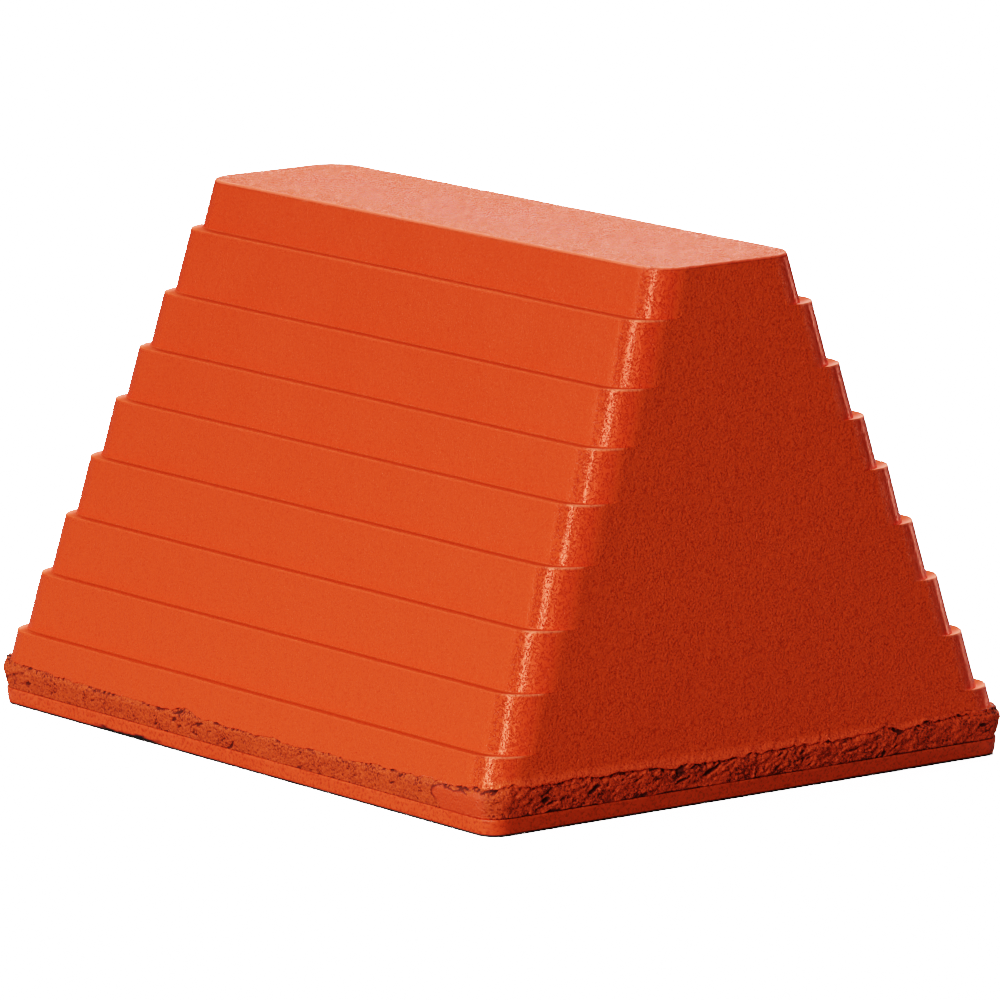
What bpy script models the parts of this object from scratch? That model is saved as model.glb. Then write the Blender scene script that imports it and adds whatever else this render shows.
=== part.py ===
"""A moulded rubber wheel chock: a stepped wedge of orange rubber over a crumb-rubber core, with a torn
collar of squeezed-out rubber round its foot, a smooth base sheet and a black grip sheet underneath.

Frame: +Z up, the origin at the middle of the underside. X crosses the wedge, so the stepped faces that a
tyre rests on look towards +X and -X. Y runs along the ridge, so the plain end faces look towards +Y and -Y.
"""

import math

import bmesh
import bpy

MM = 0.001

# Overall height, and the heights of the layers from the underside up.
HEIGHT = 158.3 * MM
SOLE_THICKNESS = 0.6 * MM
BASE_TOP = 5.1 * MM
BAND_TOP = 13.3 * MM
# Clear distance between two pieces that are bonded face to face.
GAP = 0.3 * MM

# Stepped cover: half the top face, the heights of the tiers from the top down (the ninth tier takes what is
# left above the collar), the ledges between them, and how far the walls lean out, and the corner radius
# grows, for each unit of height.
TOP_HALF_X = 26.8 * MM
TOP_HALF_Y = 114.3 * MM
TIER_HEIGHTS = [h * MM for h in (15.2, 19.3, 16.5, 15.6, 17.3, 17.6, 17.5, 17.2)]
LEDGE_WIDTHS = [w * MM for w in (4.5, 4.2, 4.2, 4.1, 4.1, 3.9, 3.8, 3.8)]
TREAD_SLOPE = 0.268
END_SLOPE = 0.080
TOP_CORNER = 11.0 * MM
CORNER_SLOPE = 0.0104
LEDGE_ROUNDING = 0.8 * MM
TOP_ROUNDING = 0.7 * MM

# Hollow inside the cover, which the core fills.
ROOF_THICKNESS = 6.0 * MM
CAVITY_TOP_HALF_X = 20.0 * MM
CAVITY_FOOT_HALF_X = 88.0 * MM
END_WALL_THICKNESS = 6.5 * MM
CAVITY_CORNER = 6.0 * MM

# Torn collar: half sizes of its outer outline at its foot, its proud rim and its top.
BAND_FOOT_HALF = (97.3 * MM, 125.1 * MM)
BAND_RIM_HALF = (98.8 * MM, 126.3 * MM)
BAND_RIM_Z = 11.2 * MM
BAND_TOP_HALF = (98.5 * MM, 126.1 * MM)
BAND_CORNER = 8.0 * MM

# Base sheet and sole: half sizes of their outlines.
BASE_TOP_HALF = (97.4 * MM, 125.4 * MM)
BASE_FOOT_HALF = (97.0 * MM, 125.0 * MM)
BASE_CORNER = 6.8 * MM
BASE_ROUNDING = 0.4 * MM
SOLE_INSET = 0.3 * MM

CORNER_SEGMENTS = 8
ROUNDING_SEGMENTS = 2
SHARP_ANGLE = math.radians(30)


def clear_scene():
    for obj in list(bpy.data.objects):
        bpy.data.objects.remove(obj)


def rubber(name, colour, roughness):
    """A rubber material of one colour."""
    material = bpy.data.materials.new(name)
    material.use_nodes = True
    shader = material.node_tree.nodes["Principled BSDF"]
    shader.inputs["Base Color"].default_value = (*colour, 1.0)
    shader.inputs["Roughness"].default_value = roughness
    shader.inputs["Metallic"].default_value = 0.0
    material.diffuse_color = (*colour, 1.0)
    return material


def outline(half_x, half_y, corner, z):
    """The points of a rectangle with round corners at height z, anticlockwise from above."""
    centres = [(1, 1), (-1, 1), (-1, -1), (1, -1)]
    points = []
    for quarter, (side_x, side_y) in enumerate(centres):
        for step in range(CORNER_SEGMENTS + 1):
            angle = math.pi / 2 * (quarter + step / CORNER_SEGMENTS)
            x = side_x * (half_x - corner) + corner * math.cos(angle)
            y = side_y * (half_y - corner) + corner * math.sin(angle)
            points.append((x, y, z))
    return points


def loft(name, outlines, material, loop=False):
    """One closed solid through a chain of outlines. Its two ends are capped, or joined if it is a loop."""
    mesh = bmesh.new()
    rings = [[mesh.verts.new(point) for point in points] for points in outlines]
    pairs = list(zip(rings, rings[1:]))
    if loop:
        pairs.append((rings[-1], rings[0]))
    else:
        mesh.faces.new(rings[0])
        mesh.faces.new(rings[-1])
    for lower, upper in pairs:
        for i in range(len(lower)):
            following = (i + 1) % len(lower)
            mesh.faces.new((lower[i], lower[following], upper[following], upper[i]))
    bmesh.ops.recalc_face_normals(mesh, faces=mesh.faces)
    data = bpy.data.meshes.new(name)
    mesh.to_mesh(data)
    mesh.free()
    data.shade_smooth()
    data.set_sharp_from_angle(angle=SHARP_ANGLE)
    data.materials.append(material)
    obj = bpy.data.objects.new(name, data)
    bpy.context.scene.collection.objects.link(obj)
    return obj


def rounded_edge(half_x, z, radius):
    """(half_x, z) pairs round a convex edge, from the ledge above to where the leaning wall begins."""
    lean = math.atan(TREAD_SLOPE)
    turn = math.pi / 2 - lean
    inset = radius * math.tan(turn / 2)
    pairs = []
    for step in range(ROUNDING_SEGMENTS + 1):
        angle = turn * step / ROUNDING_SEGMENTS
        pairs.append((half_x - inset + radius * math.sin(angle), z - radius + radius * math.cos(angle)))
    return pairs


def end_half_y(z):
    """Half the distance between the end faces at height z."""
    return TOP_HALF_Y + END_SLOPE * (HEIGHT - z)


def corner_radius(z):
    """Radius of the cover's upright corners at height z."""
    return TOP_CORNER + CORNER_SLOPE * (HEIGHT - z)


def tread_profile():
    """(half_x, z) pairs down one stepped face, from the top face to the cover's lower rim."""
    pairs = []
    half_x = TOP_HALF_X
    z = HEIGHT
    for tier_height, ledge_width in zip(TIER_HEIGHTS, LEDGE_WIDTHS):
        half_x += TREAD_SLOPE * tier_height
        z -= tier_height
        pairs.append((half_x, z))
        half_x += ledge_width
        pairs += rounded_edge(half_x, z, LEDGE_ROUNDING)
    rim = BAND_TOP + GAP
    pairs.append((half_x + TREAD_SLOPE * (z - rim), rim))
    return pairs


def cavity_outlines(shrink):
    """The outlines at the top and the foot of the hollow inside the cover, drawn in by shrink."""
    top = HEIGHT - ROOF_THICKNESS
    foot = BAND_TOP + GAP
    sizes = ((top - shrink, CAVITY_TOP_HALF_X), (foot, CAVITY_FOOT_HALF_X))
    found = []
    for z, half_x in sizes:
        half_y = end_half_y(z) - END_WALL_THICKNESS
        found.append(outline(half_x - shrink, half_y - shrink, CAVITY_CORNER - shrink, z))
    return found


def stepped_cover(material):
    top_edge = []
    for step in range(ROUNDING_SEGMENTS + 1):
        angle = math.pi / 2 * step / ROUNDING_SEGMENTS
        inset = TOP_ROUNDING * (1 - math.sin(angle))
        z = HEIGHT - TOP_ROUNDING * (1 - math.cos(angle))
        top_edge.append(outline(TOP_HALF_X - inset, TOP_HALF_Y - inset, TOP_CORNER - inset, z))
    treads = [outline(half_x, end_half_y(z), corner_radius(z), z) for half_x, z in tread_profile()]
    return loft("stepped_cover", cavity_outlines(0.0) + (top_edge + treads)[::-1], material)


def crumb_core(material):
    top, shoulder = cavity_outlines(GAP)
    foot = [(x, y, BASE_TOP + GAP) for x, y, _ in shoulder]
    return loft("crumb_core", [foot, shoulder, top], material)


def flash_band(material):
    foot_z = BASE_TOP + GAP
    inner_half = (CAVITY_FOOT_HALF_X, end_half_y(BAND_TOP + GAP) - END_WALL_THICKNESS)
    outlines = [
        outline(*inner_half, CAVITY_CORNER, foot_z),
        outline(*BAND_FOOT_HALF, BAND_CORNER, foot_z),
        outline(*BAND_RIM_HALF, BAND_CORNER, BAND_RIM_Z),
        outline(*BAND_TOP_HALF, BAND_CORNER, BAND_TOP),
        outline(*inner_half, CAVITY_CORNER, BAND_TOP),
    ]
    return loft("flash_band", outlines, material, loop=True)


def base_sheet(material):
    foot_z = SOLE_THICKNESS + GAP
    foot_x, foot_y = BASE_FOOT_HALF
    outlines = [
        outline(foot_x - BASE_ROUNDING, foot_y - BASE_ROUNDING, BASE_CORNER - BASE_ROUNDING, foot_z),
        outline(foot_x, foot_y, BASE_CORNER, foot_z + BASE_ROUNDING),
        outline(*BASE_TOP_HALF, BASE_CORNER, BASE_TOP),
    ]
    return loft("base_sheet", outlines, material)


def sole_sheet(material):
    half_x = BASE_FOOT_HALF[0] - SOLE_INSET
    half_y = BASE_FOOT_HALF[1] - SOLE_INSET
    corner = BASE_CORNER - SOLE_INSET
    outlines = [
        outline(half_x, half_y, corner, 0.0),
        outline(half_x, half_y, corner, SOLE_THICKNESS),
    ]
    return loft("sole_sheet", outlines, material)


def main():
    clear_scene()
    stepped_cover(rubber("orange_skin", (0.70, 0.075, 0.014), 0.42))
    crumb_core(rubber("crumb_rubber", (0.035, 0.022, 0.018), 0.9))
    flash_band(rubber("torn_rubber", (0.42, 0.045, 0.012), 0.75))
    base_sheet(rubber("orange_base", (0.66, 0.068, 0.014), 0.5))
    sole_sheet(rubber("black_sole", (0.012, 0.011, 0.011), 0.7))


main()
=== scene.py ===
import math

import bpy
import numpy as np
from mathutils import Matrix, Vector, noise


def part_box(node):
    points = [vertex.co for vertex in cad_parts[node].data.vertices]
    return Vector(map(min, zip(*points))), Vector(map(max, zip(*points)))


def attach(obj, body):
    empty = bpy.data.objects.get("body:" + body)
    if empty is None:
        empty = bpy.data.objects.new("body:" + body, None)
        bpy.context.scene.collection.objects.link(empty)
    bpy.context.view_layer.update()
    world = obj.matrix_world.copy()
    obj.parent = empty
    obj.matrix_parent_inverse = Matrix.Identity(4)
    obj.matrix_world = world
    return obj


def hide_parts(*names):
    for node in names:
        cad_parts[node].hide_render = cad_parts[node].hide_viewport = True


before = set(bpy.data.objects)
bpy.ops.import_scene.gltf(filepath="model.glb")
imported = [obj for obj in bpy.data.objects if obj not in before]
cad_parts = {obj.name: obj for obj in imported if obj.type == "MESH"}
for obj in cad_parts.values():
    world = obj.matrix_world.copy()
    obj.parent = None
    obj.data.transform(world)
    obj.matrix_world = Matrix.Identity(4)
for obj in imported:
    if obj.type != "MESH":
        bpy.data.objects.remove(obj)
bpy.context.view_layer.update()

MM = 0.001

# The CAD model's own places: everything below is built from them.
cover_low, cover_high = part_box("stepped_cover")
band_low, band_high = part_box("flash_band")
_, base_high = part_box("base_sheet")
sole_low, sole_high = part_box("sole_sheet")
_, core_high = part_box("crumb_core")

# Stepped cover, as in the CAD model.
TOP_HALF_X = 26.8 * MM
TOP_HALF_Y = 114.3 * MM
TIER_HEIGHTS = [h * MM for h in (15.2, 19.3, 16.5, 15.6, 17.3, 17.6, 17.5, 17.2)]
LEDGE_WIDTHS = [w * MM for w in (4.5, 4.2, 4.2, 4.1, 4.1, 3.9, 3.8, 3.8)]
TREAD_SLOPE = 0.268
END_SLOPE = 0.080
TOP_CORNER = 11.0 * MM
CORNER_SLOPE = 0.0104
FOOT_HALF_X = 98.18 * MM
CAVITY_TOP_HALF_X = 20.0 * MM
CAVITY_CORNER = 6.0 * MM
END_WALL = 6.5 * MM
BOND_GAP = 0.3 * MM

# What the photograph adds to it: soft edges, and ledges that rise and lean a little.
LEDGE_ROUNDING = 0.3 * MM
LEDGE_RISE = 0.2 * MM
LEDGE_LEAN = 0.0107
TOP_ROUNDING = 0.6 * MM
WALL_STEP = 3.0 * MM

# The orange skin's colour reads these marks along its edges: a painted highlight above 0, painted shade
# below.
OUTER_EDGE = 1.0
INNER_CORNER = -1.0
TOP_EDGE = 2.0
UNDER_TOP_EDGE = -1.8

# Torn collar and base sheet.
COLLAR_CORNER = 8.0 * MM
COLLAR_RIM_Z = 11.2 * MM
COLLAR_ROWS = 24
BASE_CORNER = 6.8 * MM
BASE_ROUNDING = 0.4 * MM
BASE_DRAFT = 0.4 * MM
SOLE_INSET = 0.3 * MM

# The ragged line where the cover's skin stops and the torn rubber starts. It sags in the
# middle of each side, and has one hump on the stepped side that the camera sees.
TEAR_MID_SIDE = 12.5 * MM
TEAR_MID_END = 12.9 * MM
TEAR_CORNER = 14.2 * MM
TEAR_REACH = 16.8 * MM
HUMP_Y = 25.0 * MM
HUMP_WIDTH = 5.5 * MM
HUMP_HEIGHT = 1.6 * MM

# The lamps aim at the middle of the object.
LAMP_AIM_Z = 70 * MM

TOP_Z = cover_high.z
FOOT_Z = cover_low.z
FOOT_HALF_Y = TOP_HALF_Y + END_SLOPE * (TOP_Z - FOOT_Z)


def fractal(points, size, octaves, seed):
    """Smooth noise in about -1 to 1 at each point, with features about size across."""
    shift = Vector((seed * 7.31, seed * 3.17 + 11.0, seed * 5.77 - 4.0))
    found = [noise.fractal(Vector(p) / size + shift, 1.0, 2.0, octaves) for p in points]
    return np.array(found)


def grains(points, size, seed):
    """Distance to the nearest grain's centre, in grain sizes."""
    shift = Vector((seed * 5.1, seed * 2.3, seed * 9.7))
    found = [noise.voronoi(Vector(p) / size + shift)[0][0] for p in points]
    return np.array(found)


def smoothstep(low, high, value):
    t = np.clip((value - low) / (high - low), 0.0, 1.0)
    return t * t * (3.0 - 2.0 * t)


def end_share(points):
    """0 on the two stepped sides, 1 on the two flat ends, and in between round the corners."""
    corner = 12.0 * MM
    past_x = np.maximum(np.abs(points[:, 0]) - (FOOT_HALF_X - corner), 0.0)
    past_y = np.maximum(np.abs(points[:, 1]) - (FOOT_HALF_Y - corner), 0.0)
    return np.arctan2(past_y, np.maximum(past_x, 1e-9)) / (math.pi / 2)


def torn_edge(points):
    """Height of the torn line beside each point."""
    x, y = points[:, 0], points[:, 1]
    beside = TEAR_MID_SIDE + (TEAR_CORNER - TEAR_MID_SIDE) * (y / FOOT_HALF_Y) ** 2
    across = np.minimum(np.abs(x) / (0.75 * FOOT_HALF_X), 1.0)
    at_end = TEAR_MID_END + (TEAR_CORNER - TEAR_MID_END) * across ** 2
    share = end_share(points)
    flat = points * (1, 1, 0)
    ragged = 0.9 * MM * fractal(flat, 6.5 * MM, 3, 51.0)
    ragged += 0.7 * MM * fractal(flat, 1.8 * MM, 2, 52.0)
    hump = HUMP_HEIGHT * np.exp(-((y - HUMP_Y) / HUMP_WIDTH) ** 2) * (x < 0) * (share < 0.01)
    return beside + (at_end - beside) * share + ragged * (0.6 + 0.5 * share) + hump


class Layout:
    """How many points each stretch of a rounded rectangle gets: along X, along Y and round a corner."""

    def __init__(self, along_x, along_y, round_corner):
        self.along_x = along_x
        self.along_y = along_y
        self.round_corner = round_corner

    def outline(self, half_x, half_y, corner, z, bunch=0.0):
        """Points anticlockwise from above, from the +X end of the +X+Y corner.

        bunch packs them near the corners.
        """
        points = []
        straights = (self.along_x, self.along_y, self.along_x, self.along_y)
        sides = [(1, 1), (-1, 1), (-1, -1), (1, -1)]
        starts = []
        for quarter, (side_x, side_y) in enumerate(sides):
            centre = np.array((side_x * (half_x - corner), side_y * (half_y - corner)))
            angles = math.pi / 2 * (quarter + np.linspace(0.0, 1.0, self.round_corner + 1))
            arc = centre + corner * np.stack((np.cos(angles), np.sin(angles)), axis=1)
            starts.append(arc)
        for quarter in range(4):
            arc = starts[quarter]
            following = starts[(quarter + 1) % 4]
            steps = np.linspace(0.0, 1.0, straights[quarter] + 1)[1:-1, None]
            steps = steps - bunch * np.sin(2 * math.pi * steps) / (2 * math.pi)
            points.append(arc)
            points.append(arc[-1] + steps * (following[0] - arc[-1]))
        flat = np.concatenate(points)
        return np.column_stack((flat, np.full(len(flat), z)))

    def end_share(self):
        """0 where the outline faces along X, 1 where it faces along Y, in between round corners."""
        turning = np.linspace(0.0, 1.0, self.round_corner + 1)
        end = np.ones(self.along_x - 1)
        side = np.zeros(self.along_y - 1)
        half = np.concatenate((turning, end, turning[::-1], side))
        return np.concatenate((half, half))

    def flat_end(self):
        """1 for the points well inside the stretches along X, 0 for the others."""
        ramp = np.minimum(np.arange(1, self.along_x), np.arange(1, self.along_x)[::-1]) / 3.0
        end = np.concatenate((np.zeros(self.round_corner + 1), np.minimum(ramp, 1.0)))
        side = np.zeros(self.round_corner + self.along_y)
        return np.concatenate((end, side, end, side))


def grid_faces(rows, columns):
    """Quads between closed rows of points, each row columns long."""
    i, j = np.meshgrid(np.arange(rows - 1), np.arange(columns), indexing="ij")
    following = (j + 1) % columns
    low = i * columns
    high = low + columns
    quads = np.stack((low + j, low + following, high + following, high + j), axis=-1)
    return quads.reshape(-1, 4).tolist()


def cap(rim, layout, first_index, next_index):
    """A grid that fills a rounded rectangle: its inner points, and faces that share the rim's."""
    half_corner = layout.round_corner // 2
    count_x = layout.along_x + layout.round_corner
    count_y = layout.along_y + layout.round_corner
    total = len(rim)
    start = half_corner
    top = [(start + k) % total for k in range(count_x + 1)]
    left = [(top[-1] + k) % total for k in range(count_y + 1)]
    bottom = [(left[-1] + k) % total for k in range(count_x + 1)]
    right = [(bottom[-1] + k) % total for k in range(count_y + 1)]
    index = np.full((count_x + 1, count_y + 1), -1)
    index[:, 0] = top
    index[-1, :] = left
    index[::-1, -1] = bottom
    index[0, ::-1] = right
    u = np.linspace(0, 1, count_x + 1)[:, None, None]
    v = np.linspace(0, 1, count_y + 1)[None, :, None]
    t, b = rim[index[:, 0]][:, None, :], rim[index[:, -1]][:, None, :]
    l, r = rim[index[0, :]][None, :, :], rim[index[-1, :]][None, :, :]
    corners = ((1 - u) * (1 - v) * rim[index[0, 0]] + u * (1 - v) * rim[index[-1, 0]]
               + (1 - u) * v * rim[index[0, -1]] + u * v * rim[index[-1, -1]])
    patch = (1 - v) * t + v * b + (1 - u) * l + u * r - corners
    inner = patch[1:-1, 1:-1].reshape(-1, 3)
    final = np.where(index >= 0, index + first_index, 0)
    final[1:-1, 1:-1] = np.arange(len(inner)).reshape(count_x - 1, count_y - 1) + next_index
    faces = np.stack((final[:-1, :-1], final[1:, :-1], final[1:, 1:], final[:-1, 1:]), axis=-1)
    return inner, faces.reshape(-1, 4).tolist()


def make_piece(name, points, faces, material, node, attributes=None):
    """A mesh object that rides on the root body and stands for a CAD node."""
    data = bpy.data.meshes.new(name)
    data.from_pydata(points.tolist(), [], faces)
    for key, values in (attributes or {}).items():
        attribute = data.attributes.new(key, "FLOAT", "POINT")
        attribute.data.foreach_set("value", values.astype(np.float32))
    data.shade_smooth()
    data.materials.append(material)
    data.update()
    obj = bpy.data.objects.new(name, data)
    bpy.context.scene.collection.objects.link(obj)
    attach(obj, "root")
    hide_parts(node)
    return obj


def vertex_normals(points, faces):
    """Unit normals of a mesh's points, from its quads."""
    quads = np.array([f for f in faces if len(f) == 4])
    a, b, c, d = (points[quads[:, k]] for k in range(4))
    face = np.cross(c - a, d - b)
    found = np.zeros_like(points)
    for k in range(4):
        np.add.at(found, quads[:, k], face)
    return found / np.maximum(np.linalg.norm(found, axis=1, keepdims=True), 1e-12)


# ---------------------------------------------------------------- stepped cover


def end_half_y(z):
    return TOP_HALF_Y + END_SLOPE * (TOP_Z - z)


def corner_radius(z):
    return TOP_CORNER + CORNER_SLOPE * (TOP_Z - z)


def rounded_edge(half_x, z, radius, steps=3):
    """(half_x, z) pairs round a ledge's outer edge."""
    turn = math.pi / 2 - math.atan(TREAD_SLOPE)
    inset = radius * math.tan(turn / 2)
    angles = np.linspace(0.0, turn, steps + 1)
    return [(half_x - inset + radius * math.sin(a), z - radius + radius * math.cos(a))
            for a in angles]


def tread_profile():
    """(half_x, z, edge) down one stepped face, with the edge mark of each row."""
    rows = []
    half_x = TOP_HALF_X
    z = TOP_Z
    heights = TIER_HEIGHTS + [z - sum(TIER_HEIGHTS) - cover_low.z]
    past_edge = 0.3 * MM
    for tier, height in enumerate(heights):
        if tier:
            rows.append((half_x - 0.7 * LEDGE_WIDTHS[tier - 1], z + 0.3 * LEDGE_RISE, 0.0))
            for x, level in rounded_edge(half_x, z + LEDGE_RISE, LEDGE_ROUNDING):
                rows.append((x, level, OUTER_EDGE))
            start = LEDGE_ROUNDING + past_edge
        else:
            below = TOP_ROUNDING + past_edge
            rows.append((half_x + TREAD_SLOPE * below, z - below, UNDER_TOP_EDGE))
            start = below + 0.5 * MM
        last = height - 0.5 * MM if tier < len(heights) - 1 else height
        count = round((last - start) / WALL_STEP)
        for step in range(count + 1):
            down = start + (last - start) * step / count
            rows.append((half_x + TREAD_SLOPE * down, z - down, 0.0))
        half_x += TREAD_SLOPE * height
        z -= height
        if tier == len(heights) - 1:
            # Two close rows keep the foot's edge crisp.
            for up in (0.6 * MM, 0.1 * MM):
                rows.insert(-1, (rows[-1][0] - up * TREAD_SLOPE, rows[-1][1] + up, 0.0))
        else:
            rows.append((half_x, z, INNER_CORNER))
            rows.append((half_x + 0.4 * MM, z + 0.1 * LEDGE_RISE, 0.5 * INNER_CORNER))
            half_x += LEDGE_WIDTHS[tier]
    return rows


def spread_rows(levels, gap):
    """The same falling heights, moved apart until neighbours are at least gap from each other."""
    spread = list(levels)
    for _ in range(60):
        for k in range(len(spread) - 1):
            short = gap - (spread[k] - spread[k + 1])
            if short > 0:
                spread[k] += short / 2
                spread[k + 1] -= short / 2
    return spread


def cover_rings(layout):
    """The cover's rings of points, from inside its cavity round its foot and up, and their marks.

    Also says how many of the first rings are in the cavity, and how many come before the walls.
    """
    bunch = 0.6
    profile = tread_profile()
    end_levels = spread_rows([z for _, z, _ in profile], 0.22 * MM)
    roof_z = core_high.z + BOND_GAP
    cavity_foot = (core_high.x + BOND_GAP, core_high.y + BOND_GAP)
    rings = [layout.outline(CAVITY_TOP_HALF_X, end_half_y(roof_z) - END_WALL, CAVITY_CORNER,
                            roof_z, bunch),
             layout.outline(*cavity_foot, CAVITY_CORNER, FOOT_Z + 1.5 * MM, bunch)]
    in_cavity = len(rings)
    for inset, rise in ((3.0 * MM, 1.2 * MM), (0.5 * MM, 0.35 * MM), (0.12 * MM, 0.0)):
        rings.append(layout.outline(FOOT_HALF_X - inset, FOOT_HALF_Y - inset,
                                    corner_radius(FOOT_Z) - inset, FOOT_Z + rise, bunch))
    below_walls = len(rings)
    edge = [0.0] * below_walls
    flat_end = layout.flat_end()
    for (half_x, z, level), end_z in zip(profile[::-1], end_levels[::-1]):
        ring = layout.outline(half_x, end_half_y(z), corner_radius(z), z, bunch)
        # On the flat ends there are no ledges, so the rows there move apart.
        ring[:, 2] += (end_z - z) * flat_end
        ring[:, 1] += np.sign(ring[:, 1]) * END_SLOPE * (z - ring[:, 2])
        rings.append(ring)
        edge.append(level)
    steps = 4
    for step in range(steps, -1, -1):
        angle = math.pi / 2 * step / steps
        inset = TOP_ROUNDING * (1 - math.sin(angle))
        drop = TOP_ROUNDING * (1 - math.cos(angle))
        rings.append(layout.outline(TOP_HALF_X - inset, TOP_HALF_Y - inset, TOP_CORNER - inset,
                                    TOP_Z - drop, bunch))
        edge.append(TOP_EDGE if step else 0.6 * TOP_EDGE)
    return rings, edge, in_cavity, below_walls


def skin_marks(points, normals, edge, facing_end):
    """What the orange skin's colour and gloss read at each point, as named values."""
    x, y, z = points.T
    # Ledges fade out round the corners, so their edges do too, and get a painted highlight just before
    # they end.
    tip = (edge == OUTER_EDGE) * smoothstep(0.2, 0.5, facing_end)
    tip *= 1.0 - smoothstep(0.85, 1.0, facing_end)
    towards_end = np.abs(normals[:, 1]) - np.abs(normals[:, 0])
    below_top = z <= TOP_Z - 2.0 * TOP_ROUNDING
    edge = edge * np.where(below_top, 1.0 - smoothstep(0.2, 0.85, towards_end), 1.0)
    corner = smoothstep(0.12, 0.35, np.minimum(np.abs(normals[:, 0]), np.abs(normals[:, 1])))
    polish = corner * (x > 0) * (y < 0)
    # The corner nearest the camera is the most scuffed.
    corner = corner * np.where((x < 0) & (y < 0), 1.0, 0.3)
    top = smoothstep(0.8, 0.95, normals[:, 2]) * (z > TOP_Z - 0.5 * TOP_ROUNDING)
    ledge = smoothstep(0.5, 0.8, normals[:, 2]) * below_top
    depth = (TOP_Z - z) / (TOP_Z - FOOT_Z)
    # The last mark picks out the -Y end for a painted shade hue.
    return {"edge": edge, "corner": corner, "end": facing_end, "top": top, "ledge": ledge,
            "depth": depth, "tip": tip, "polish": polish, "shaded_end": facing_end * (y < 0)}


def wear_skin(points, normals, edge, outside):
    """The points moved by slight waves in the walls and nicks along the edges."""
    wave = 0.13 * MM * fractal(points, 38 * MM, 2, 1.0)
    wave += 0.04 * MM * fractal(points, 9 * MM, 1, 2.0)
    nicks = np.zeros(len(points))
    at_edge = edge > 0.5
    nicks[at_edge] = -0.16 * MM * smoothstep(0.35, 0.9, fractal(points[at_edge], 4 * MM, 3, 3.0))
    return points + normals * ((wave + nicks) * outside)[:, None]


def slide_skin(points, outside, near_foot):
    """The foot follows the torn line and the ledges lean, both sliding along the wall."""
    share = end_share(points)
    moving = near_foot > 0
    lean = smoothstep(TOP_Z - 2 * MM, TOP_Z - 12 * MM, points[:, 2])
    slide = -LEDGE_LEAN * points[:, 0] * outside * (1 - near_foot) * lean
    slide[moving] += (torn_edge(points[moving]) - FOOT_Z) * near_foot[moving]
    slid = points.copy()
    slid[:, 0] -= np.sign(points[:, 0]) * TREAD_SLOPE * slide * (1 - share)
    slid[:, 1] -= np.sign(points[:, 1]) * END_SLOPE * slide * share
    slid[:, 2] = np.minimum(points[:, 2] + slide, TOP_Z)
    return slid


def build_cover(material):
    layout = Layout(along_x=200, along_y=270, round_corner=24)
    rings, edge, in_cavity, below_walls = cover_rings(layout)
    columns = len(rings[0])
    points = np.concatenate(rings)
    faces = grid_faces(len(rings), columns)
    last_ring = (len(rings) - 1) * columns
    inner, top_faces = cap(rings[-1], layout, last_ring, len(points))
    points = np.concatenate((points, inner))
    faces += top_faces
    faces.append(list(range(columns))[::-1])
    edge = np.concatenate((np.repeat(edge, columns), np.zeros(len(inner))))
    facing_end = np.concatenate((np.tile(layout.end_share(), len(rings)), np.full(len(inner), 0.5)))
    normals = vertex_normals(points, faces)
    outside = np.ones(len(points))
    outside[: below_walls * columns] = 0.0
    marks = skin_marks(points, normals, edge, facing_end)
    points = wear_skin(points, normals, marks["edge"], outside)
    near_foot = smoothstep(TEAR_REACH, FOOT_Z + 0.5 * MM, points[:, 2])
    near_foot[: in_cavity * columns] = 0.0
    # The rim mark drives both a bump that flares the ends above the torn line and a painted light band
    # there.
    marks["rim"] = near_foot * end_share(points)
    points = slide_skin(points, outside, near_foot)
    return make_piece("orange_cover", points, faces, material, "stepped_cover", marks)


# ---------------------------------------------------------------- torn collar


def collar_rings(layout, outline, share, torn):
    """The collar's rings, from inside its foot, round the torn face and back in under the cover."""
    foot_z = band_low.z
    tuck = 0.7 * MM
    inner = (core_high.x + BOND_GAP, core_high.y + BOND_GAP)
    rings = [layout.outline(*inner, COLLAR_CORNER, foot_z),
             layout.outline(base_high.x - 2.0 * MM, base_high.y - 2.0 * MM, COLLAR_CORNER,
                            foot_z - 0.1 * MM)]
    # How far the torn face tucks in under the cover's edge, and over what depth it comes out.
    shy = 0.5 + 0.5 * np.clip(fractal(outline, 9 * MM, 2, 28.0) * 1.6, -1, 1)
    recess = 0.10 * MM + (0.15 + 0.85 * share) * shy * 0.9 * MM
    emerge = 0.7 * MM + 0.7 * MM * share
    reach_x = band_high.x - 0.1 * MM - base_high.x
    reach_y = band_high.y - 0.1 * MM - base_high.y
    for row in range(COLLAR_ROWS + 1):
        z = foot_z + (torn + tuck - foot_z) * (row / COLLAR_ROWS)
        out = -recess + (recess + 0.06 * MM) * smoothstep(0.0, emerge, torn - z)
        wall_x = FOOT_HALF_X + TREAD_SLOPE * (FOOT_Z - z) + out
        wall_y = FOOT_HALF_Y + END_SLOPE * (FOOT_Z - z) + out + 0.15 * MM * share
        lean = np.clip((z - foot_z) / (COLLAR_RIM_Z - foot_z), 0.0, 1.0) ** 0.8
        half_x = np.minimum(wall_x, base_high.x + reach_x * lean)
        half_y = np.minimum(wall_y, base_high.y + reach_y * lean)
        ring = outline.copy()
        ring[:, 0] += np.sign(ring[:, 0]) * (half_x - band_high.x)
        ring[:, 1] += np.sign(ring[:, 1]) * (half_y - band_high.y)
        ring[:, 2] = z
        rings.append(ring)
    rings.append(layout.outline(*inner, COLLAR_CORNER, FOOT_Z - 0.5 * MM))
    return rings


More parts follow.
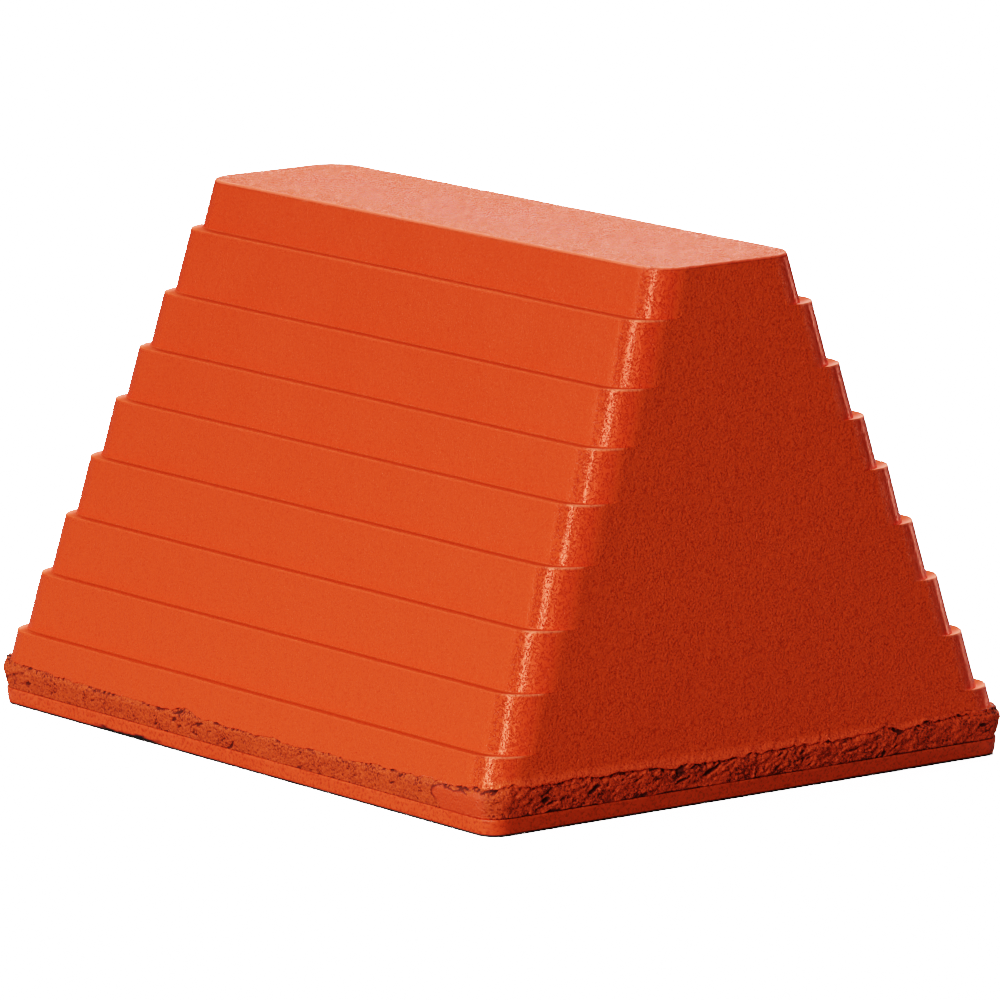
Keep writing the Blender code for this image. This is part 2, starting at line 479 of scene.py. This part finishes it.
def smeared_rubber(points, share, up):
    """Where smooth orange was smeared over the torn face: the flap by one corner, and all of it."""
    x, y = points[:, 0], points[:, 1]
    wander = fractal(points, 9 * MM, 3, 21.0)
    by_corner = smoothstep(-97 * MM, -102 * MM, y + 5 * MM * wander)
    by_corner *= (1 - smoothstep(0.25, 0.6, share)) * (x < 0)
    flap = by_corner * smoothstep(0.95, 0.75, up + 0.2 * wander)
    patches = smoothstep(0.25, 0.6, fractal(points * (1, 1, 0.4), 26 * MM, 2, 20.0))
    patches *= (1 - share) * 0.7
    return flap, np.maximum(flap, patches * smoothstep(0.8, 0.3, up))


def streak_places(points, outline, count):
    """Places for noise that runs in diagonal streaks round the outside."""
    turn = np.cumsum(np.linalg.norm(np.diff(outline, axis=0, prepend=outline[:1]), axis=1))
    run = np.tile(turn, count)
    x, y, z = points.T
    return np.column_stack((0.28 * (run * 0.94 + z * 0.34), z * 0.94 - run * 0.34, 0.2 * (x + y)))


def torn_relief(points, places, share, below):
    """How far the torn face stands out at each point, and how much of a pit each point is."""
    grain = 0.5 - grains(points, 1.05 * MM, 22.0)
    coarse = 0.5 - grains(points, 2.4 * MM, 29.0)
    lumps = fractal(points, 7.0 * MM, 3, 23.0)
    streaks = fractal(places, 1.0 * MM, 3, 24.0)
    fine = fractal(points, 0.7 * MM, 2, 25.0)
    pits = smoothstep(0.25, 0.7, fractal(places * (1, 1, 0.6), 1.5 * MM, 4, 27.0))
    under_edge = smoothstep(-0.1, 0.4, fractal(points, 1.3 * MM, 4, 30.0))
    pits = np.maximum(pits, under_edge * smoothstep(1.5, 0.2, below / MM))
    pits *= 0.35 + 0.65 * smoothstep(-0.3, 0.35, fractal(points, 14 * MM, 2, 36.0))
    relief = 0.26 * grain + 0.30 * coarse + 0.28 * lumps + 0.16 * fine
    relief += 0.22 * streaks * (0.4 + share)
    relief = MM * relief * (0.45 + 0.45 * share) - MM * (0.36 + 0.20 * share) * pits
    return relief - 0.10 * MM, pits


def build_collar(material):
    layout = Layout(along_x=400, along_y=520, round_corner=28)
    outline = layout.outline(band_high.x, band_high.y, COLLAR_CORNER, 0.0)
    share = end_share(outline)
    torn = torn_edge(outline)
    rings = collar_rings(layout, outline, share, torn)
    count = len(rings)
    columns = len(outline)
    points = np.concatenate(rings)
    faces = grid_faces(count, columns)
    last = (count - 1) * columns
    for k in range(columns):
        following = (k + 1) % columns
        faces.append([last + k, last + following, following, k])
    normals = vertex_normals(points, faces)
    rough = np.repeat([0.0, 0.0, 0.25, 0.8] + [1.0] * (COLLAR_ROWS - 1) + [0.0], columns)
    share = np.tile(share, count)
    torn = np.tile(torn, count)
    above_foot = points[:, 2] - band_low.z
    up = np.clip(above_foot / (torn - band_low.z), 0.0, 1.0)
    flap, smear = smeared_rubber(points, share, up)
    places = streak_places(points, outline, count)
    relief, pits = torn_relief(points, places, share, torn - points[:, 2])
    shift = relief * rough * (1.0 - 0.85 * smear)
    points = points + normals * (1, 1, 0.35) * shift[:, None]
    points[:, 0] = np.clip(points[:, 0], band_low.x, band_high.x)
    points[:, 1] = np.clip(points[:, 1], band_low.y, band_high.y)
    # Painted shade: pits and sunken spots of the torn face are darkened through the cavity mark.
    sunk = np.clip(-relief / MM - 0.1, 0, 1)
    cavity = np.clip(0.9 * pits + 0.8 * sunk, 0.0, 1.0) * (1 - 0.8 * smear)
    # The seam above the base sheet is a thin broken dark line, with painted shade added on the ends.
    broken = smoothstep(-0.45, 0.1, fractal(points, 8 * MM, 3, 34.0)) * (1 - smear)
    seam = smoothstep(0.6 * MM, 0.15 * MM, points[:, 2] - band_low.z) * broken
    cavity = np.maximum(cavity, seam * (0.5 + 0.5 * share))
    # Painted shade along the flap's edge.
    flap_edge = 4 * flap * (1 - flap) * smoothstep(0.25, 0.45, up) * (share < 0.1)
    cavity = np.maximum(cavity, 0.9 * flap_edge)
    return make_piece("torn_collar", points, faces, material, "flash_band",
                      {"cavity": cavity, "smear": smear, "end": share})


# ---------------------------------------------------------------- base sheet and sole


def closed_sheet(rings):
    """The points and faces of a sheet closed above and below by its first and last rings."""
    columns = len(rings[0])
    points = np.concatenate(rings)
    faces = grid_faces(len(rings), columns)
    faces.append(list(range(columns))[::-1])
    faces.append(list(range(len(points) - columns, len(points))))
    return points, faces


def base_rings(layout, low, high):
    """The base sheet's rings: a rounded bottom edge, a drafted side and a nearly sharp top edge."""
    foot_x, foot_y = base_high.x - BASE_DRAFT, base_high.y - BASE_DRAFT
    rings = [layout.outline(foot_x - 3.0 * MM, foot_y - 3.0 * MM, BASE_CORNER - 3.0 * MM, low)]
    round_steps = 3
    for step in range(round_steps + 1):
        angle = math.pi / 2 * step / round_steps
        inset = BASE_ROUNDING * (1 - math.sin(angle))
        rings.append(layout.outline(foot_x - inset, foot_y - inset, BASE_CORNER - inset,
                                    low + BASE_ROUNDING * (1 - math.cos(angle))))
    side_steps = 7
    side_height = high - low - BASE_ROUNDING - 0.3 * MM
    for step in range(1, side_steps + 1):
        t = step / side_steps
        rings.append(layout.outline(foot_x + (base_high.x - foot_x) * t,
                                    foot_y + (base_high.y - foot_y) * t,
                                    BASE_CORNER, low + BASE_ROUNDING + side_height * t))
    for inset, drop in ((0.10, 0.10), (0.4, 0.0), (4.0, 0.0)):
        rings.append(layout.outline(base_high.x - inset * MM, base_high.y - inset * MM,
                                    BASE_CORNER - inset * MM, high - drop * MM))
    return rings


def black_stretch_mask(points):
    """1 on a stretch of the bottom edge, on the stepped side, that is coloured near-black."""
    x, y, z = points.T
    stretch = smoothstep(36 * MM, 45 * MM, y) * smoothstep(80 * MM, 66 * MM, y) * (x < 0)
    reach = MM * (1.5 + 0.7 * fractal(points * (1, 1, 0), 6 * MM, 3, 35.0))
    return stretch * smoothstep(reach + 0.3 * MM, reach - 0.3 * MM, z)


def build_base(material):
    layout = Layout(along_x=190, along_y=240, round_corner=16)
    low, high = sole_high.z + 0.05 * MM, base_high.z + 0.2 * MM
    points, faces = closed_sheet(base_rings(layout, low, high))
    normals = vertex_normals(points, faces)
    wave = 0.10 * MM * fractal(points, 24 * MM, 3, 31.0)
    wave += 0.05 * MM * fractal(points, 3 * MM, 3, 32.0)
    nicks = smoothstep(0.35, 0.8, fractal(points * (1, 1, 0.3), 5 * MM, 3, 33.0))
    low_edge = smoothstep(1.4 * MM, 0.7 * MM, points[:, 2])
    high_edge = smoothstep(4.2 * MM, 4.9 * MM, points[:, 2])
    wave -= 0.30 * MM * nicks * np.maximum(low_edge, high_edge)
    points = points + normals * (1, 1, 0.2) * (wave - 0.08 * MM)[:, None]
    points[:, 2] = np.clip(points[:, 2], low, high)
    return make_piece("lip_sheet", points, faces, material, "base_sheet",
                      {"black_stretch": black_stretch_mask(points), "end": end_share(points)})


def build_sole(material):
    layout = Layout(along_x=190, along_y=240, round_corner=16)
    low, high = sole_low.z, sole_high.z
    corner = BASE_CORNER - SOLE_INSET
    levels = ((3.0, low), (0.15, low), (0.0, low + 0.12 * MM),
              (0.0, high - 0.1 * MM), (0.12, high), (3.0, high))
    rings = []
    for inset, z in levels:
        rings.append(layout.outline(sole_high.x - inset * MM, sole_high.y - inset * MM,
                                    corner - inset * MM, z))
    points, faces = closed_sheet(rings)
    normals = vertex_normals(points, faces)
    trim = -0.10 * MM + 0.10 * MM * fractal(points, 9 * MM, 3, 41.0)
    points = points + normals * (1, 1, 0) * trim[:, None]
    return make_piece("grip_sole", points, faces, material, "sole_sheet")


# ---------------------------------------------------------------- materials


class Nodes:
    """Shorthand for building one material's node tree."""

    def __init__(self, name):
        self.material = bpy.data.materials.new(name)
        self.material.use_nodes = True
        self.tree = self.material.node_tree
        self.shader = self.tree.nodes["Principled BSDF"]
        self.place = self.add("ShaderNodeTexCoord").outputs["Object"]

    def add(self, kind, **settings):
        node = self.tree.nodes.new(kind)
        for key, value in settings.items():
            setattr(node, key, value)
        return node

    def link(self, source, target):
        self.tree.links.new(source, target)

    def put(self, socket, value):
        if isinstance(value, bpy.types.NodeSocket):
            self.link(value, socket)
        else:
            socket.default_value = value

    def noise(self, size, detail, roughness=0.55):
        """Noise in 0 to 1 with features about size metres across."""
        node = self.add("ShaderNodeTexNoise")
        node.inputs["Scale"].default_value = 1.0 / size
        node.inputs["Detail"].default_value = detail
        node.inputs["Roughness"].default_value = roughness
        self.link(self.place, node.inputs["Vector"])
        return node.outputs["Fac"]

    def cells(self, size):
        """Distance from the nearest of many scattered points about size metres apart."""
        node = self.add("ShaderNodeTexVoronoi")
        node.inputs["Scale"].default_value = 1.0 / size
        self.link(self.place, node.inputs["Vector"])
        return node.outputs["Distance"]

    def attribute(self, name):
        return self.add("ShaderNodeAttribute", attribute_name=name).outputs["Fac"]

    def remap(self, value, low, high, to_low=0.0, to_high=1.0):
        node = self.add("ShaderNodeMapRange", interpolation_type="SMOOTHSTEP")
        self.put(node.inputs["Value"], value)
        limits = (("From Min", low), ("From Max", high), ("To Min", to_low), ("To Max", to_high))
        for name, number in limits:
            node.inputs[name].default_value = number
        return node.outputs["Result"]

    def math(self, operation, a, b=0.0):
        node = self.add("ShaderNodeMath", operation=operation)
        self.put(node.inputs[0], a)
        self.put(node.inputs[1], b)
        return node.outputs[0]

    def times(self, a, b):
        return self.math("MULTIPLY", a, b)

    def mix(self, factor, a, b):
        """Two colours mixed by factor."""
        node = self.add("ShaderNodeMix", data_type="RGBA")
        self.put(node.inputs[0], factor)
        self.put(node.inputs[6], a)
        self.put(node.inputs[7], b)
        return node.outputs[2]

    def bump(self, height, strength, distance, below=None):
        node = self.add("ShaderNodeBump")
        self.put(node.inputs["Strength"], strength)
        node.inputs["Distance"].default_value = distance
        self.put(node.inputs["Height"], height)
        if below is not None:
            self.link(below, node.inputs["Normal"])
        return node.outputs["Normal"]


def colour(red, green, blue):
    return (red, green, blue, 1.0)


def skin_tone(n, end, shaded):
    """Mottled orange, with painted light towards the foot, painted shade on the ledges and the -Y end,
    and a painted light band above the tear.
    """
    mottle = n.noise(26 * MM, 4.0)
    tone = n.mix(n.remap(mottle, 0.35, 0.65), colour(0.735, 0.0605, 0.0185),
                 colour(0.755, 0.0640, 0.0205))
    # Painted light: the stepped sides are lighter towards the foot, where more light falls on them.
    low = n.times(n.attribute("depth"), n.remap(end, 0.0, 1.0, 1.0, 0.0))
    tone = n.mix(low, tone, colour(0.880, 0.0770, 0.0240))
    # Painted shade: the -Y end face gets the hue the orange takes in shade.
    shaded_end = n.remap(n.attribute("shaded_end"), 0.7, 1.0)
    tone = n.mix(shaded_end, tone, colour(0.800, 0.0900, 0.0205))
    # Painted shade on the ledges, which the walls above keep from the light.
    tone = n.mix(n.times(shaded, 0.75), tone, colour(0.47, 0.048, 0.005))
    # Painted light: a lighter band just above the torn line on the ends, where the flared foot catches
    # the light.
    rim = n.remap(n.attribute("rim"), 0.05, 0.7, 0.0, 0.85)
    return n.mix(rim, tone, colour(0.98, 0.120, 0.040))


def top_tone(n, tone):
    """The flat top is painted lighter and redder, as if lit from above, with fine dark and light
    streaks of painted sheen.
    """
    top = n.attribute("top")
    streaks = n.noise(1.3 * MM, 3.0, 0.7)
    # Painted reflection: the dark and light streaks stand in for the sheen broken up by the grain.
    dark = n.times(top, n.remap(streaks, 0.32, 0.50, 0.70, 0.0))
    light = n.times(top, n.remap(streaks, 0.50, 0.68, 0.0, 0.85))
    # Painted light: the top's base is lighter than the walls, as light falls on it from above.
    tone = n.mix(n.times(top, 0.8), tone, colour(0.92, 0.080, 0.010))
    tone = n.mix(dark, tone, colour(0.56, 0.030, 0.005))
    return n.mix(light, tone, colour(0.98, 0.105, 0.035))


def grain_tone(n, tone, leather, grain, end):
    """Fine dark and light grain, stronger on the flat ends."""
    tone = n.mix(n.remap(leather, 0.42, 0.72, 0.0, 0.12), tone, colour(0.62, 0.046, 0.011))
    dark = n.times(n.remap(grain, 0.30, 0.50, 0.32, 0.0), n.remap(end, 0.0, 1.0, 1.0, 2.2))
    tone = n.mix(dark, tone, colour(0.42, 0.030, 0.006))
    light = n.times(n.remap(grain, 0.52, 0.75, 0.0, 0.18), n.remap(end, 0.0, 1.0, 1.0, 2.4))
    return n.mix(light, tone, colour(0.84, 0.096, 0.030))


def wear_tone(n, tone, leather):
    """Painted highlights on the ledge edges, the top edge and the ledge tips, painted shade in the
    inner corners and under the top edge, and a few dark specks.
    """
    edge = n.attribute("edge")
    # Painted highlight along the rounded ledge edges, mottled by the leather noise.
    painted_edge_light = n.times(n.remap(edge, 0.4, 1.0), n.remap(leather, 0.35, 0.65, 0.1, 0.5))
    tone = n.mix(painted_edge_light, tone, colour(0.86, 0.085, 0.028))
    # Painted highlight along the top edge.
    tone = n.mix(n.remap(edge, 1.1, 1.9, 0.0, 0.95), tone, colour(0.98, 0.130, 0.065))
    # Painted highlight at the ledge tips.
    tone = n.mix(n.times(n.attribute("tip"), 0.8), tone, colour(0.98, 0.19, 0.10))
    # Painted shade in the inner corners and just under the top edge.
    crease = n.remap(n.times(edge, -1.0), 0.4, 1.8, 0.0, 0.65)
    tone = n.mix(crease, tone, colour(0.45, 0.036, 0.009))
    specks = n.remap(n.cells(2.2 * MM), 0.06, 0.13, 1.0, 0.0)
    keep = n.remap(n.noise(9 * MM, 2.0), 0.5, 0.62)
    return n.mix(n.times(specks, n.times(keep, 0.45)), tone, colour(0.20, 0.014, 0.005))


def skin_roughness(n, leather, grain, shaded):
    """Semi-gloss, smoother on the scuffed and polished corners and matt on the ledges."""
    rough = n.math("ADD", n.remap(leather, 0.3, 0.7, 0.18, 0.26),
                   n.remap(grain, 0.4, 0.7, 0.0, 0.08))
    rough = n.times(rough, n.remap(n.attribute("corner"), 0.0, 1.0, 1.0, 0.62))
    rough = n.times(rough, n.remap(n.attribute("polish"), 0.0, 1.0, 1.0, 0.45))
    ledge_or_edge = n.math("MAXIMUM", n.attribute("ledge"), n.attribute("edge"))
    rough = n.math("ADD", rough, n.remap(ledge_or_edge, 0.0, 1.0, 0.0, 0.3))
    return n.math("ADD", rough, n.times(shaded, 0.4))


def skin_relief(n, leather, grain, end):
    """Orange-peel grain, pits on the scuffed corner and the end faces, and a flare at the foot."""
    corner = n.attribute("corner")
    smooth_ledge = n.remap(n.attribute("ledge"), 0.0, 1.0, 1.0, 0.1)
    plain = n.times(n.remap(corner, 0.0, 1.0, 1.0, 0.35),
                    n.remap(n.attribute("top"), 0.0, 1.0, 1.0, 3.2))
    plain = n.times(plain, n.remap(n.attribute("polish"), 0.0, 1.0, 1.0, 0.35))
    plain = n.times(plain, smooth_ledge)
    skin = n.bump(leather, n.times(plain, 0.36), 0.8 * MM)
    rougher_end = n.times(plain, n.remap(end, 0.0, 1.0, 1.0, 2.0))
    skin = n.bump(grain, n.times(rougher_end, 0.36), 0.5 * MM, skin)
    pits = n.remap(n.noise(0.70 * MM, 3.0, 0.55), 0.39, 0.49)
    deep = n.math("MAXIMUM", n.remap(corner, 0.0, 1.0, 0.08, 1.15), n.times(end, 0.35))
    skin = n.bump(pits, n.times(deep, smooth_ledge), 0.22 * MM, skin)
    # The end faces flare out a little just above the torn line.
    return n.bump(n.attribute("rim"), 1.0, 1.1 * MM, skin)


def orange_skin():
    n = Nodes("orange_skin")
    leather = n.noise(3.2 * MM, 4.0, 0.6)
    grain = n.noise(0.7 * MM, 3.0, 0.65)
    facing_end = n.attribute("end")
    end = n.remap(facing_end, 0.7, 1.0)
    shaded = n.times(n.attribute("ledge"), n.remap(facing_end, 0.15, 0.6, 1.0, 0.0))
    tone = skin_tone(n, end, shaded)
    tone = top_tone(n, tone)
    tone = grain_tone(n, tone, leather, grain, end)
    tone = wear_tone(n, tone, leather)
    n.link(tone, n.shader.inputs["Base Color"])
    n.link(skin_roughness(n, leather, grain, shaded), n.shader.inputs["Roughness"])
    n.link(skin_relief(n, leather, grain, end), n.shader.inputs["Normal"])
    n.shader.inputs["IOR"].default_value = 1.45
    n.shader.inputs["Specular Tint"].default_value = colour(1.0, 0.32, 0.30)
    n.shader.inputs["Metallic"].default_value = 0.11
    return n.material


def torn_rubber():
    n = Nodes("torn_rubber")
    lumps = n.noise(5 * MM, 4.0)
    crumbs = n.noise(0.8 * MM, 4.0, 0.7)
    flecks = n.noise(0.55 * MM, 2.0, 0.6)
    cavity = n.attribute("cavity")
    smear = n.attribute("smear")
    tone = n.mix(n.remap(lumps, 0.35, 0.65), colour(0.60, 0.064, 0.0105), colour(0.72, 0.076, 0.0135))
    tone = n.mix(n.remap(crumbs, 0.38, 0.54, 0.85, 0.0), tone, colour(0.17, 0.016, 0.005))
    tone = n.mix(n.remap(flecks, 0.50, 0.66, 0.0, 0.8), tone, colour(0.84, 0.100, 0.034))
    clusters = n.remap(n.noise(9 * MM, 3.0), 0.50, 0.60)
    clusters = n.times(clusters, n.remap(crumbs, 0.44, 0.52, 0.85, 0.0))
    tone = n.mix(clusters, tone, colour(0.10, 0.009, 0.003))
    # Painted shade in the pits, the sunken spots, the seam and along the flap's edge.
    tone = n.mix(n.remap(cavity, 0.2, 0.9, 0.0, 0.92), tone, colour(0.075, 0.008, 0.003))
    tone = n.mix(n.remap(smear, 0.3, 0.9, 0.0, 0.92), tone, colour(0.80, 0.070, 0.021))
    n.link(tone, n.shader.inputs["Base Color"])
    n.shader.inputs["IOR"].default_value = 1.38
    n.link(n.remap(smear, 0.2, 0.9, 0.72, 0.40), n.shader.inputs["Roughness"])
    skin = n.bump(crumbs, 0.9, 0.5 * MM)
    skin = n.bump(n.cells(0.8 * MM), 0.6, 0.3 * MM, skin)
    n.link(skin, n.shader.inputs["Normal"])
    return n.material


def orange_base():
    n = Nodes("orange_base")
    mottle = n.noise(12 * MM, 4.0)
    grain = n.noise(1.0 * MM, 4.0, 0.65)
    tone = n.mix(n.remap(mottle, 0.35, 0.65), colour(0.86, 0.078, 0.023), colour(0.92, 0.086, 0.026))
    tone = n.mix(n.remap(grain, 0.38, 0.52, 0.6, 0.0), tone, colour(0.34, 0.024, 0.006))
    tone = n.mix(n.remap(grain, 0.60, 0.75, 0.0, 0.5), tone, colour(0.86, 0.095, 0.030))
    # Painted shade: the base sheet is darker on the ends, which lie in shade.
    tone = n.mix(n.remap(n.attribute("end"), 0.4, 1.0, 0.0, 0.42), tone, colour(0.22, 0.046, 0.000))
    # A stretch of the bottom edge on the stepped side is coloured near-black.
    tone = n.mix(n.attribute("black_stretch"), tone, colour(0.016, 0.014, 0.014))
    n.link(tone, n.shader.inputs["Base Color"])
    n.shader.inputs["IOR"].default_value = 1.38
    n.link(n.remap(mottle, 0.3, 0.7, 0.32, 0.46), n.shader.inputs["Roughness"])
    n.link(n.bump(grain, 0.7, 0.3 * MM), n.shader.inputs["Normal"])
    return n.material


def black_sole():
    n = Nodes("black_sole")
    dust = n.noise(9 * MM, 4.0)
    weave = n.noise(0.7 * MM, 2.0)
    tone = n.mix(n.remap(dust, 0.4, 0.7), colour(0.010, 0.009, 0.009), colour(0.030, 0.026, 0.024))
    n.link(tone, n.shader.inputs["Base Color"])
    n.link(n.remap(dust, 0.3, 0.7, 0.6, 0.8), n.shader.inputs["Roughness"])
    n.link(n.bump(weave, 0.6, 0.3 * MM), n.shader.inputs["Normal"])
    return n.material


def crumb_rubber():
    n = Nodes("crumb_rubber")
    crumbs = n.cells(2.4 * MM)
    tone = n.mix(n.remap(crumbs, 0.1, 0.6), colour(0.045, 0.028, 0.022), colour(0.015, 0.012, 0.011))
    n.link(tone, n.shader.inputs["Base Color"])
    n.shader.inputs["Roughness"].default_value = 0.9
    n.link(n.bump(crumbs, 0.8, 0.6 * MM), n.shader.inputs["Normal"])
    return n.material


def stage_material(name, bounce, seen):
    """Plain matt white. The camera sees it brighter than the object does, so its bounce stays soft."""
    material = bpy.data.materials.new(name)
    material.use_nodes = True
    tree = material.node_tree
    tree.nodes.clear()
    path = tree.nodes.new("ShaderNodeLightPath")
    level = tree.nodes.new("ShaderNodeMapRange")
    level.inputs["To Min"].default_value = bounce
    level.inputs["To Max"].default_value = seen
    shader = tree.nodes.new("ShaderNodeBsdfDiffuse")
    out = tree.nodes.new("ShaderNodeOutputMaterial")
    tree.links.new(path.outputs["Is Camera Ray"], level.inputs["Value"])
    tree.links.new(level.outputs["Result"], shader.inputs["Color"])
    tree.links.new(shader.outputs["BSDF"], out.inputs["Surface"])
    return material


# ---------------------------------------------------------------- stage, light, camera


def direction(azimuth, elevation):
    """Unit vector towards something seen from the object: azimuth 0 is -Y, and 90 is +X."""
    a, e = math.radians(azimuth), math.radians(elevation)
    return Vector((math.sin(a) * math.cos(e), -math.cos(a) * math.cos(e), math.sin(e)))


def soft_box(name, azimuth, elevation, distance, width, height, brightness, tint=(1, 1, 1)):
    """A rectangular lamp. brightness is what a white face at the object, turned to it, would show."""
    light = bpy.data.lights.new(name, "AREA")
    light.shape = "RECTANGLE"
    light.size = width
    light.size_y = height
    light.energy = brightness * math.pi ** 2 * distance ** 2
    light.color = tint
    lamp = bpy.data.objects.new(name, light)
    towards = direction(azimuth, elevation)
    lamp.location = Vector((0, 0, LAMP_AIM_Z)) + towards * distance
    lamp.rotation_mode = "QUATERNION"
    lamp.rotation_quaternion = towards.to_track_quat("Z", "Y")
    lamp.visible_camera = False
    bpy.context.scene.collection.objects.link(lamp)
    return lamp


def build_floor():
    span = 9.0
    corners = [(-span, -span, 0), (span, -span, 0), (span, span, 0), (-span, span, 0)]
    data = bpy.data.meshes.new("floor")
    data.from_pydata(corners, [], [(0, 1, 2, 3)])
    data.materials.append(stage_material("stage_white", bounce=0.12, seen=24.0))
    floor = bpy.data.objects.new("floor", data)
    bpy.context.scene.collection.objects.link(floor)


def build_lights():
    soft_box("key", azimuth=-68, elevation=21, distance=1.7,
             width=0.40, height=1.3, brightness=0.92)
    soft_box("side_fill", azimuth=-98, elevation=36, distance=1.6,
             width=1.1, height=0.5, brightness=0.37)
    soft_box("front_strip", azimuth=-43, elevation=16, distance=1.7,
             width=0.08, height=1.0, brightness=0.11, tint=(1, 0.7, 0.6))
    soft_box("overhead", azimuth=128, elevation=54, distance=1.9,
             width=0.9, height=0.8, brightness=1.85)
    soft_box("back_card", azimuth=143, elevation=14, distance=2.4,
             width=1.2, height=1.0, brightness=0.0125)
    soft_box("rim", azimuth=78.3, elevation=2.5, distance=0.49,
             width=0.034, height=0.17, brightness=0.080, tint=(1, 0.52, 0.40))
    soft_box("edge_light", azimuth=-167, elevation=37, distance=1.8,
             width=0.45, height=0.4, brightness=0.08)


def build_world():
    """A white surround, which the camera sees brighter than the object does."""
    world = bpy.data.worlds.new("studio")
    world.use_nodes = True
    tree = world.node_tree
    background = tree.nodes["Background"]
    path = tree.nodes.new("ShaderNodeLightPath")
    level = tree.nodes.new("ShaderNodeMapRange")
    level.inputs["To Min"].default_value = 0.10
    level.inputs["To Max"].default_value = 6.0
    tree.links.new(path.outputs["Is Camera Ray"], level.inputs["Value"])
    tree.links.new(level.outputs["Result"], background.inputs["Strength"])
    background.inputs["Color"].default_value = (1, 1, 1, 1)
    bpy.context.scene.world = world


def build_camera():
    azimuth, elevation, roll = -37.37, 10.52, 0.12
    distance = 2.9305
    aim = Vector((1.3 * MM, -1.0 * MM, 70.4 * MM))
    data = bpy.data.cameras.new("camera")
    data.sensor_width = 36.0
    data.lens = 347.9
    data.clip_start = 0.1
    data.clip_end = 40.0
    camera = bpy.data.objects.new("camera", data)
    back = direction(azimuth, elevation)
    camera.rotation_mode = "QUATERNION"
    turn = Matrix.Rotation(math.radians(-roll), 4, "Z").to_quaternion()
    camera.rotation_quaternion = back.to_track_quat("Z", "Y") @ turn
    camera.location = aim + back * distance
    bpy.context.scene.collection.objects.link(camera)
    bpy.context.scene.camera = camera


def set_view():
    view = bpy.context.scene.view_settings
    view.view_transform = "Filmic"
    view.look = "High Contrast"
    view.exposure = 0.0


build_cover(orange_skin())
build_collar(torn_rubber())
build_base(orange_base())
build_sole(black_sole())
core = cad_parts["crumb_core"]
core.data.materials.clear()
core.data.materials.append(crumb_rubber())
build_floor()
build_lights()
build_world()
build_camera()
set_view()
